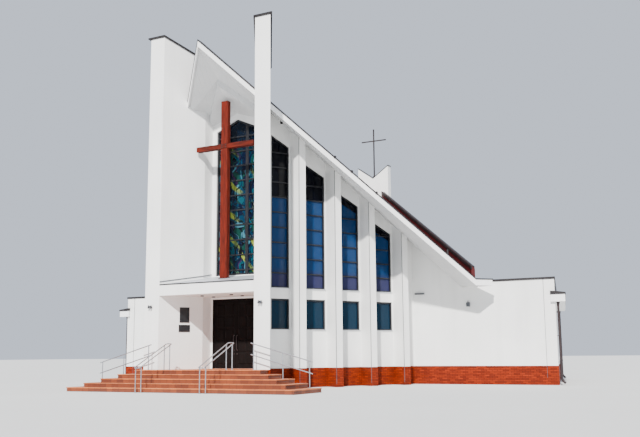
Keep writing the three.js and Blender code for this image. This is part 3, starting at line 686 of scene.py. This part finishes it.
rear = flat_wall(REAR_Y, 1)
rear_bars, rear_panes, rear_sills = [], [], []
for middle in REAR_WINDOWS:
    low, high = middle - REAR_HALF, middle + REAR_HALF
    rear_bars += window(rear, low, high, LOWER_SILL, level(LOWER_HEAD), posts=[middle])
    rear_panes.append(low_pane(rear, low + PANE_IN, high - PANE_IN))
    rear_sills.append(sill_sheet(rear, low, high, LOWER_SILL))
piece("rear_frames", rear_bars, FRAMES, bevel=0.006)
piece("rear_panes", rear_panes, PANES, thick=0.02, instead_of=["rear_glass"])
piece("rear_sills", rear_sills, SILLS, bevel=0.004)

# Entrance window

ENTRANCE_Y, ENTRANCE_HALF, ENTRANCE_SILL, APEX, SHOULDER = 2.21, 1.03, 4.64, 11.35, 10.89
ENTRANCE_ROWS = 4.863 + 0.6365 * np.arange(0, 10)
SIDE_BAR, HEAD_BAR, ROW_HALF, POSTS, POST_HALF = 0.08, 0.09, 0.028, (-0.46, 0.46), 0.07
GLASS_IN, GLASS_OUT = 0.04, -0.13


def entrance_head(along):
    """The pointed head: it falls evenly from the apex to both shoulders."""
    return APEX - (APEX - SHOULDER) * np.abs(along) / ENTRANCE_HALF


entrance = flat_wall(ENTRANCE_Y, -1)
edge, inner, inner_sill = ENTRANCE_HALF, ENTRANCE_HALF - SIDE_BAR, ENTRANCE_SILL + SIDE_BAR
outlines = [([[low, entrance_head(low) - HEAD_BAR], [high, entrance_head(high) - HEAD_BAR],
              [high, entrance_head(high)], [low, entrance_head(low)]], -0.17, -0.06)
            for low, high in ((-edge, 0.0), (0.0, edge))]
outlines += [(rectangle(low, high, ENTRANCE_SILL, SHOULDER - HEAD_BAR), -0.17, -0.06)
             for low, high in ((-edge, -inner), (inner, edge))]
outlines.append((rectangle(-edge, edge, ENTRANCE_SILL, inner_sill), -0.17, -0.05))
outlines += [(rectangle(-inner, inner, height - ROW_HALF, height + ROW_HALF), -0.16, -0.075)
             for height in ENTRANCE_ROWS]
outlines += [(rectangle(place - POST_HALF, place + POST_HALF, inner_sill, entrance_head(place) - POST_HALF),
              -0.165, -0.07) for place in POSTS]
piece("entrance_window_frame", [on_wall(entrance, *outline) for outline in outlines], FRAMES,
      bevel=0.006)
along, t = np.meshgrid(np.linspace(-edge + GLASS_IN, edge - GLASS_IN, 9), np.linspace(0, 1, 12),
                       indexing="ij")
top = entrance_head(along) - GLASS_IN
rise = ENTRANCE_SILL + GLASS_IN + t * (top - ENTRANCE_SILL - GLASS_IN)
glass = lattice(entrance(along, np.full_like(along, GLASS_OUT), rise), np.stack([along, top - rise], -1))
piece("entrance_leaded_glass", glass, LEADED, thick=0.03, instead_of=["entrance_glass"])

# Timber cross

CROSS_Y, BEAM_HALF, BEAM_DEEP, BEAM_TOP = 1.33, 0.165, 0.12, 11.9
ARM_HALF, ARM_DEEP, ARM_IN, ARM_Z = 1.4, 0.11, 0.02, (9.845, 10.055)
LAP_OUT = 0.012
BOLT, BOLT_THICK, BOLT_X, BOLT_Z = 0.022, 0.014, (-0.09, 0.09), (9.9, 10.0)
SHOE_HALF, SHOE_DEEP, SHOE_LOW, SHOE_THICK = 0.2, 0.15, np.array([4.38, 4.38, 4.44, 4.44]), 0.06

beam_front = CROSS_Y - BEAM_DEEP
piece("timber_upright", block((-BEAM_HALF, BEAM_HALF), (beam_front, CROSS_Y + BEAM_DEEP),
                              (canopy_top(beam_front), BEAM_TOP)), TIMBER_UP, bevel=0.03,
      instead_of=["timber_cross"])
arm_y = (CROSS_Y - ARM_DEEP, CROSS_Y + ARM_DEEP)
arms = [block((-ARM_HALF, -BEAM_HALF + ARM_IN), arm_y, ARM_Z),
        block((BEAM_HALF - ARM_IN, ARM_HALF), arm_y, ARM_Z),
        block((-BEAM_HALF, BEAM_HALF), (beam_front - LAP_OUT, CROSS_Y), ARM_Z)]
piece("timber_arm", arms, TIMBER_ACROSS, bevel=0.014)
bolts = [disc((x, beam_front - LAP_OUT, z), (0, -1, 0), BOLT, BOLT_THICK) for x in BOLT_X for z in BOLT_Z]
shoe = over(rectangle(-SHOE_HALF, SHOE_HALF, CROSS_Y - SHOE_DEEP, CROSS_Y + SHOE_DEEP), SHOE_LOW,
            SHOE_LOW + SHOE_THICK)
piece("timber_cross_fixings", [*bolts, shoe], COPING, bevel=0.004)

# Roof edges, copings and seams. The profiles are (out, up) corners.

VERGE_BEND, VERGE_TIP, TIP_TOP, ROOF_THICK = 8.54, 9.07, 4.49, 0.24
FASCIA = [(-0.02, -0.03), (0.03, -0.03), (0.03, 0.225), (-0.02, 0.225)]
DRIP_EDGE = [(-0.16, 0.245), (-0.16, 0.262), (0.05, 0.272), (0.05, 0.222), (0.034, 0.222), (0.034, 0.245)]
UPSTAND_CAP = [(-0.09, -0.1), (0.09, -0.1), (0.09, 0.025), (-0.09, 0.025)]
UPSTAND_IN, UPSTAND_HIGH, UPSTAND_START = 0.06, 0.43, 0.27
RIDGE_CAP = [(-0.16, -0.12), (0, 0.035), (0.16, -0.12), (0.16, -0.15), (0, 0.0), (-0.16, -0.15)]
RIDGE_START = -0.5
WING_COPING = [(-0.24, -0.06), (0.235, -0.06), (0.235, 0.035), (-0.24, 0.02)]
COPING_IN, COPING_SIDE_IN, COPING_REAR_IN = 0.2, 0.24, 0.16
FIN_COPING_OUT, FIN_COPING_LOW, FIN_COPING_HIGH = 0.07, -0.045, 0.01
SHEET_LOW, SHEET_HIGH = -0.03, 0.012
SEAM_START, SEAM_APART, SEAM_HALF, SEAM_HIGH, SEAM_TAIL = 0.3, 0.55, 0.014, 0.045, 0.2
PANEL_END = GABLE_Y - 0.01

half_verge = np.array([[0, VERGE_START], [VERGE_BEND, VERGE_START + VERGE_BEND],
                       [VERGE_TIP, VERGE_START + VERGE_TIP], [tail_x(WING_Y - 0.01, -0.03), WING_Y - 0.01]])
half_low = np.array([roof_top(*half_verge[0]), TIP_TOP, TIP_TOP, TIP_TOP]) - ROOF_THICK
half_verge = raised(half_verge, half_low)
verge_low = np.vstack([half_verge[:0:-1] * [-1, 1, 1], half_verge])
piece("verge_fascia", along_path(verge_low, FASCIA), WHITE_TRIM, bevel=0.006)
piece("verge_drip_edge", along_path(verge_low, DRIP_EDGE), COPING)

for side, word in SIDES:
    plan = mirrored(grown(FIN_PLAN, FIN_COPING_OUT), side)
    top = fin_top(plan)
    piece(f"fin_coping_{word}", over(plan, top + FIN_COPING_LOW, top + FIN_COPING_HIGH), COPING,
          bevel=0.006)

    roof = mirrored([[0.01, VERGE_START + 0.02], [VERGE_X, VERGE_START + VERGE_X],
                     [tail_x(PANEL_END), PANEL_END], [0.01, PANEL_END]], side)
    above = roof_top(*roof.T)
    piece(f"roof_sheet_{word}", over(roof, above + SHEET_LOW, above + SHEET_HIGH), ROOF_RED)

    starts = np.arange(SEAM_START, GABLE_Y, SEAM_APART)
    reach = np.minimum((starts - VERGE_START) / (ROOF_ACROSS - ROOF_BACK),
                       (TAIL_Y - SEAM_TAIL - starts) / (ROOF_ACROSS * TAIL_SLOPE + ROOF_BACK))
    seams = []
    for start, length in zip(starts, reach):
        ends = mirrored([[0.03, start], [ROOF_ACROSS * length - 0.03, start + ROOF_BACK * length]], side)
        direction = unit(ends[1] - ends[0])
        beside = np.array([-direction[1], direction[0]]) * SEAM_HALF
        plan = np.array([ends[0] - beside, ends[1] - beside, ends[1] + beside, ends[0] + beside])
        height = roof_top(*plan.T)
        seams.append(over(plan, height - 0.01, height + SEAM_HIGH))
    piece(f"roof_seams_{word}", seams, ROOF_RED)

    rear_edge = in_order(np.array([[side * tail_x(y, UPSTAND_IN), y] for y in
                                   (VERGE_START + VERGE_X + UPSTAND_START, PANEL_END)]), side)
    cap = raised(rear_edge, roof_top(*rear_edge.T) + UPSTAND_HIGH)
    piece(f"upstand_cap_{word}", along_path(cap, UPSTAND_CAP), COPING, bevel=0.006)

ridge = np.array([[0, RIDGE_START], [0, PANEL_END]])
piece("ridge_cap", along_path(raised(ridge, roof_top(*ridge.T)), RIDGE_CAP), ROOF_RED)

coping_y = WING_Y + COPING_IN
half_wing = np.array([[tail_x(coping_y, UPSTAND_IN) + 0.06, coping_y], [WING_X - COPING_SIDE_IN, coping_y],
                      [WING_BACK_X - COPING_REAR_IN, REAR_Y - COPING_IN]])
wing_line = np.vstack([half_wing, half_wing[::-1] * [-1, 1]])
piece("parapet_coping", along_path(raised(wing_line, PARAPET), WING_COPING), COPING,
      bevel=0.006)

VALLEY, PEAK, CAP_HALF, CAP_THICK, CAP_DEEP = 11.375, 12.052, 0.955, 0.033, 0.23
COLLAR_HALF, COLLAR_Z = 0.06, (11.42, 11.56)
gable_middle = GABLE_Y + 0.205
gable_wall = flat_wall(gable_middle, -1)
caps = [on_wall(gable_wall, [[0, VALLEY], [side * CAP_HALF, PEAK], [side * CAP_HALF, PEAK + CAP_THICK],
                             [0, VALLEY + CAP_THICK]], -CAP_DEEP, CAP_DEEP) for side in (RIGHT, LEFT)]
piece("bell_gable_caps", caps, COPING)
piece("cross_collar", block((-COLLAR_HALF, COLLAR_HALF),
                            (gable_middle - COLLAR_HALF, gable_middle + COLLAR_HALF), COLLAR_Z),
      CROSS_METAL, bevel=0.01)

# Canopy trim

CANOPY = np.array([[2.24, 0.0], [1.285, 1.69], [1.235, 2.2], [-1.235, 2.2], [-1.285, 1.69], [-2.24, 0.0]])
FLASHING = [(-0.02, 0.1), (0.002, 0.1), (0.002, 0.135), (-0.02, 0.135)]
FLASHING_LINE = [[2.245, 0.004], [1.29, 1.69], [1.24, 2.2]]
canopy_high = canopy_top(CANOPY[:, 1])
piece("canopy_sheet", over(CANOPY, canopy_high - 0.002, canopy_high + 0.012), SILLS)
piece("canopy_drip_edge", over(rectangle(-2.24, 2.24, -0.014, 0.03), 4.165, 4.21), COPING)
for side, word in SIDES:
    half = in_order(mirrored(FLASHING_LINE, side), side)
    line = raised(half, canopy_top(half[:, 1]))
    piece(f"canopy_flashing_{word}", along_path(line, FLASHING), LAMP)

# Lamps, fittings and plaques

CEILING_LAMP, CEILING_LAMP_Z, CEILING_LAMP_HIGH = 0.07, 3.735, 0.035
FIN_LAMPS = ((2.56, 3.32), (-2.65, 3.3))
STRIP_X, STRIP_Z, STRIP_OUT = (5.25, 5.7), (4.02, 4.09), 0.09
SPOT_X, SPOT_Z, SPOT_OUT, SPOT_MIDDLE = (7.69, 7.84), (3.4, 3.58), 0.12, 7.76
SOFFIT_FITTING, VERGE_FITTINGS, ROOF_PIPE = (0.3, 0.45), (4.07, 4.59, 5.36), (7.5, 7.3)
CONDUCTOR_X, CONDUCTOR_OUT, CONDUCTOR = 11.1, 0.012, 0.008
PIER_TOPS, CORNER_OUT, CORNER_FOOT, CORNER_LINE = (10.45, 9.23, 7.99, 6.75), 0.004, 0.12, 0.013
PLAQUES = (((0.908, 1.333, 2.68, 3.3), 0.03), ((0.873, 1.367, 2.3, 2.59), 0.025))

ceiling_lamps = [disc((x, y, CEILING_LAMP_Z), (0, 0, -1), CEILING_LAMP, CEILING_LAMP_HIGH)
                 for x in (-0.7, 0.7) for y in (0.8, 1.6)]
piece("canopy_lamps", ceiling_lamps, LAMP, bevel=0.006)


def wall_lamp(x, z):
    """A pair of small round spotlights on a plate, on the front of a fin."""
    return [block((x - 0.05, x + 0.05), (-0.025, 0.0), (z - 0.05, z + 0.05)),
            tube([[x, -0.02, z], [x, -0.09, z]], 0.014),
            tube([[x - 0.075, -0.09, z - 0.05], [x - 0.03, -0.1, z + 0.055]], 0.036),
            tube([[x + 0.03, -0.1, z - 0.055], [x + 0.075, -0.09, z + 0.05]], 0.036)]


piece("fin_lamps", [part for place in FIN_LAMPS for part in wall_lamp(*place)], LAMP)

wing_lamps, fittings, conductors, corner_lines = [], [], [], []
for side in (RIGHT, LEFT):
    wing_lamps += [block(span(side, *STRIP_X), (WING_Y - STRIP_OUT, WING_Y), STRIP_Z),
                   block(span(side, *SPOT_X), (WING_Y - SPOT_OUT, WING_Y), SPOT_Z),
                   rod(side * SPOT_MIDDLE, WING_Y - SPOT_OUT / 2, SPOT_Z[1], SPOT_Z[1] + 0.08, 0.02)]

    x, y = wall_at(*SOFFIT_FITTING)
    under = soffit_at(x, y)
    fittings.append(rod(side * x, y, under + 0.01, under - 0.12, 0.06))
    for x in VERGE_FITTINGS:
        y = x + VERGE_START
        z = roof_top(x, y)
        fittings.append(block(span(side, x - 0.05, x + 0.05), (y - 0.06, y + 0.06), (z - 0.04, z + 0.07)))
    x, y = ROOF_PIPE
    z = roof_top(x, y)
    fittings.append(rod(side * x, y, z - 0.05, z + 0.22, 0.045))

    conductors.append(rod(side * CONDUCTOR_X, WING_Y - CONDUCTOR_OUT, FLOOR - 0.5, PARAPET, CONDUCTOR, 8))
    for bay, pier_top in enumerate(PIER_TOPS):
        x, y = wall_at(PIER_END + BAY * bay - PIER_WIDE - CORNER_OUT, PIER_OUT + CORNER_OUT)
        corner_lines.append(rod(side * x, y, CORNER_FOOT, pier_top - 0.02, CORNER_LINE, 8))
piece("wing_lamps", wing_lamps, LAMP, bevel=0.008)
piece("roof_fittings", fittings, COPING)
piece("wing_conductors", conductors, LAMP)
piece("pier_corner_lines", corner_lines, LAMP)
piece("fin_plaques", [on_wall(fin_face(LEFT), rectangle(*place), -0.002, thick)
                      for place, thick in PLAQUES], STONE, bevel=0.005)

# Wing eaves and rainwater pipes

EAVE_LOW, EAVE_HIGH, SHEET_TOP, EAVE_OUT, EAVE_END, EAVE_IN = 3.485, 3.8, 3.9, 0.42, SIDE_LONG - 0.1, 0.17
EAVE_FRONT = WING_Y - 0.12
EAVE_FALL = np.array([0.05, -0.03, -0.03, 0.05, 0.05, 0.05])
PIPES, PIPE_OUT, KICK_OUT, PIPE_RADIUS, PIPE_BEND = (0.09, 8.7), 0.115, 0.26, 0.05, 0.07
BRACKETS, BRACKET_HALF, BRACKET_RADIUS, STAY_RADIUS = (0.95, 2.05, 3.05), 0.02, 0.058, 0.012


def eave_plan(out, front, back, gap):
    """An eave's outline: from its short return in front of the wing along the side to its back end."""
    corner = WING_X - (front - WING_Y) * math.tan(SIDE_TURN) + out / math.cos(SIDE_TURN)
    return np.array([[WING_X - EAVE_IN, front], [corner, front], side_at(back, out), side_at(back, gap),
                     [WING_X + gap, WING_Y - gap], [WING_X - EAVE_IN, WING_Y - gap]])


for side, word in SIDES:
    box = mirrored(eave_plan(EAVE_OUT, EAVE_FRONT, EAVE_END, 0.003), side)
    cover = mirrored(eave_plan(EAVE_OUT + 0.03, EAVE_FRONT - 0.03, EAVE_END + 0.01, 0.001), side)
    piece(f"eave_box_{word}", over(box, EAVE_LOW, EAVE_HIGH), WHITE_TRIM, bevel=0.006,
          instead_of=[f"side_eave_{word}"])
    piece(f"eave_sheet_{word}", over(cover, EAVE_HIGH - 0.005, SHEET_TOP + EAVE_FALL), COPING,
          bevel=0.006)
    # A dark sheet on each side parapet above the eave: its darkness is partly painted shade on the wing's
    # side face.
    strip = mirrored([side_at(0.02, 0.0), side_at(0.02, 0.03), side_at(SIDE_LONG - 0.02, 0.03),
                      side_at(SIDE_LONG - 0.02, 0.0)], side)
    piece(f"parapet_sheet_{word}", over(strip, SHEET_TOP, PARAPET - 0.04), COPING)
    pipes = []
    for along in PIPES:
        wall_end, place, kick = mirrored([side_at(along, out) for out in (0.0, PIPE_OUT, KICK_OUT)], side)
        pipes.append(tube(rounded([[*place, EAVE_LOW + 0.02], [*place, 3.2], [*place, 0.22], [*kick, 0.07]],
                                  PIPE_BEND), PIPE_RADIUS))
        pipes.append(rod(*place, EAVE_LOW, EAVE_LOW - 0.13, [0.075, 0.055]))
        for z in BRACKETS:
            pipes.append(rod(*place, z - BRACKET_HALF, z + BRACKET_HALF, BRACKET_RADIUS))
            pipes.append(tube([[*wall_end, z], [*place, z]], STAY_RADIUS, 8))
    piece(f"rainwater_{word}", pipes, PIPE)

# Entrance doors

DOOR_FACE, DOOR_LOW, DOOR_HIGH, LEAF_IN, LEAF_OUT = 2.23, 0.812, 3.5737, 0.006, 1.0637
LEAF_SIDE, LEAF_FOOT, LEAF_HEAD, PANEL_COLUMNS, PANEL_ROWS = 0.09, 0.16, 0.12, 2, 5
PANEL_IN, PANEL_SLOPE, PANEL_STEP, PANEL_OUT, SUNK = 0.02, 0.045, 0.006, 0.02, -0.002
STILE_WIDE, STILE_OUT = 0.05, 0.012
HANDLE_X, HANDLE_Z, HANDLE_OUT, HANDLE_RADIUS, LOCK_Z = 0.075, (1.55, 2.15), 0.07, 0.014, 1.4
THRESHOLD = (-1.06, 1.06), (2.2, 2.33), (FLOOR - 0.002, FLOOR + 0.008)
door_front = flat_wall(DOOR_FACE, -1)


def door_panel(side, low, high, bottom, top):
    """A raised panel: a low straight edge, then a slope up to a flat field."""
    outer = np.array(rectangle(low, high, bottom, top))
    field = np.array(rectangle(low + PANEL_SLOPE, high - PANEL_SLOPE, bottom + PANEL_SLOPE,
                               top - PANEL_SLOPE))
    return hoops([door_front(side * ring[:, 0], np.full(4, out), ring[:, 1])
                  for ring, out in ((outer, SUNK), (outer, PANEL_STEP), (field, PANEL_OUT))])


for side, word in SIDES:
    columns = np.linspace(LEAF_IN + LEAF_SIDE, LEAF_OUT - LEAF_SIDE, PANEL_COLUMNS + 1)
    rows = np.linspace(DOOR_LOW + LEAF_FOOT, DOOR_HIGH - LEAF_HEAD, PANEL_ROWS + 1)
    panels = [door_panel(side, low + PANEL_IN, high - PANEL_IN, bottom + PANEL_IN, top - PANEL_IN)
              for low, high in zip(columns, columns[1:]) for bottom, top in zip(rows, rows[1:])]
    stile = rectangle(*span(side, LEAF_IN, LEAF_IN + STILE_WIDE), DOOR_LOW, DOOR_HIGH)
    panels.append(on_wall(door_front, stile, SUNK, STILE_OUT))
    piece(f"door_panels_{word}", panels, DOOR, body=f"door_{word}", bevel=0.003)

    x, (foot, head) = side * HANDLE_X, HANDLE_Z
    grip = rounded([[x, DOOR_FACE, foot], [x, DOOR_FACE - HANDLE_OUT, foot],
                    [x, DOOR_FACE - HANDLE_OUT, head], [x, DOOR_FACE, head]], 0.03)
    plates = [disc((x, DOOR_FACE - 0.001, z), (0, -1, 0), 0.028, 0.012) for z in HANDLE_Z]
    lock = disc((x, DOOR_FACE - 0.001, LOCK_Z), (0, -1, 0), 0.026, 0.016)
    piece(f"door_handle_{word}", [tube(grip, HANDLE_RADIUS), *plates, lock], PIPE,
          body=f"door_{word}")
piece("door_threshold", block(*THRESHOLD), STEEL, bevel=0.003)

# Steps

LAYERS, RISER, TREAD, SIDE_TREAD, LANDING_Y, LANDING_HALF = 5, 0.16, 0.35, 0.55, -0.6, 2.9
STEP_BACK = -0.002
NOSING = [(-0.33, 0.002), (0.022, 0.002), (0.022, -0.038), (0.0, -0.038), (-0.33, -0.03)]
for layer in range(LAYERS):
    below = LAYERS - 1 - layer
    half, front, top = LANDING_HALF + SIDE_TREAD * below, LANDING_Y - TREAD * below, RISER * (layer + 1)
    line = [[-half, STEP_BACK, top], [-half, front, top], [half, front, top], [half, STEP_BACK, top]]
    piece(f"step_nosing_{layer + 1}", along_path(line, NOSING), TREADS, bevel=0.007)

# Handrails

RAIL, POST, RAIL_HIGH, RAIL_X, RAIL_HALF = 0.021, 0.019, 0.95, 1.45, 0.13
RAIL_NEAR, RAIL_FAR, RAIL_BEND = -2.25, -0.33, 0.06
FRONT_POSTS = ((-2.15, 0.0), (-0.45, FLOOR))
RAIL_SLOPE = FLOOR / (FRONT_POSTS[1][0] - FRONT_POSTS[0][0])
SIDE_RAIL_X, SIDE_RAIL_Y, SIDE_FALL, MIDDLE_DROP = (2.33, 4.92), -0.33, 0.27, 0.42
SIDE_POSTS = ((2.45, 0.8), (3.7, 0.48), (4.8, 0.16))
FOOT_PLATE, FOOT_THICK = 0.05, 0.012


def rail_z(y):
    """The height of the front handrails, which rise with the steps."""
    return RAIL_HIGH + (y - FRONT_POSTS[0][0]) * RAIL_SLOPE


def side_rail_z(x):
    """The height of the side handrails, which fall outwards with the side steps."""
    return FLOOR + RAIL_HIGH - (x - SIDE_POSTS[0][0]) * SIDE_FALL


def rail_post(x, y, ground, top):
    """A post from its round foot plate up to the handrail."""
    return [rod(x, y, ground, top, POST), disc((x, y, ground), (0, 0, 1), FOOT_PLATE, FOOT_THICK)]


for side, word in SIDES:
    low, high = side * RAIL_X - RAIL_HALF, side * RAIL_X + RAIL_HALF
    middle = (RAIL_NEAR + RAIL_FAR) / 2
    corners = [[low, middle], [low, RAIL_NEAR], [high, RAIL_NEAR], [high, RAIL_FAR], [low, RAIL_FAR],
               [low, middle]]
    parts = [tube(rounded([[x, y, rail_z(y)] for x, y in corners], RAIL_BEND), RAIL)]
    for x in (low, high):
        for y, ground in FRONT_POSTS:
            parts += rail_post(x, y, ground, rail_z(y))
    piece(f"front_handrail_{word}", parts, STEEL, instead_of=[f"front_rail_{word}"])

    parts = [tube([[side * x, SIDE_RAIL_Y, side_rail_z(x) - drop] for x in SIDE_RAIL_X], RAIL)
             for drop in (0.0, MIDDLE_DROP)]
    for x, ground in SIDE_POSTS:
        parts += rail_post(side * x, SIDE_RAIL_Y, ground, side_rail_z(x))
    piece(f"side_handrail_{word}", parts, STEEL, instead_of=[f"side_rail_{word}"])

# Camera, floor and light

CAMERA = Vector((19.316, -27.494 + BACK, 1.317))
YAW, PITCH, ROLL = (math.radians(angle) for angle in (-27.34, 9.16, -0.47))
LENS, SENSOR = 47.685, 36.0
STUDIO_REACH, STUDIO_LEVEL = 400, -0.002
SUN_STRENGTH, SUN_ANGLE, SUN_COLOUR, SUN_WAY = 8.5, math.radians(2), (1.0, 0.975, 0.94), (-0.25, 1.0, -0.85)
SKY_COLOUR, SKY_STRENGTH = (0.78, 0.86, 1.0, 1), 0.95

ahead = Vector((math.sin(YAW) * math.cos(PITCH), math.cos(YAW) * math.cos(PITCH), math.sin(PITCH)))
beside = Vector((math.cos(YAW), -math.sin(YAW), 0))
above = beside.cross(ahead)
right_way = math.cos(ROLL) * beside + math.sin(ROLL) * above
up_way = -math.sin(ROLL) * beside + math.cos(ROLL) * above
camera = bpy.data.objects.new("camera", bpy.data.cameras.new("camera"))
camera.data.lens, camera.data.sensor_width = LENS, SENSOR
camera.data.sensor_fit = "HORIZONTAL"
camera.data.clip_end = 2000
camera.matrix_world = Matrix.Translation(CAMERA) @ Matrix((right_way, up_way, -ahead)).transposed().to_4x4()
bpy.context.collection.objects.link(camera)
bpy.context.scene.camera = camera

ground = bpy.data.meshes.new("floor")
corners = rectangle(-STUDIO_REACH, STUDIO_REACH, -STUDIO_REACH, STUDIO_REACH)
ground.from_pydata([(x, y, STUDIO_LEVEL) for x, y in corners], [], [(0, 1, 2, 3)])
pale = Finish("pale studio floor", 0.9)
pale.colour(pale.mix(pale.noise(0.2, 3), (214, 214, 212), (206, 206, 204)))
ground.materials.append(pale.material)
floor = bpy.data.objects.new("floor", ground)
bpy.context.collection.objects.link(floor)

sun = bpy.data.objects.new("key light", bpy.data.lights.new("key light", "SUN"))
sun.data.energy, sun.data.angle, sun.data.color = SUN_STRENGTH, SUN_ANGLE, SUN_COLOUR
sun.rotation_euler = Vector(SUN_WAY).to_track_quat("-Z", "Y").to_euler()
bpy.context.collection.objects.link(sun)
world = bpy.data.worlds.new("soft studio")
world.use_nodes = True
background = world.node_tree.nodes["Background"]
background.inputs["Color"].default_value = SKY_COLOUR
background.inputs["Strength"].default_value = SKY_STRENGTH
bpy.context.scene.world = world
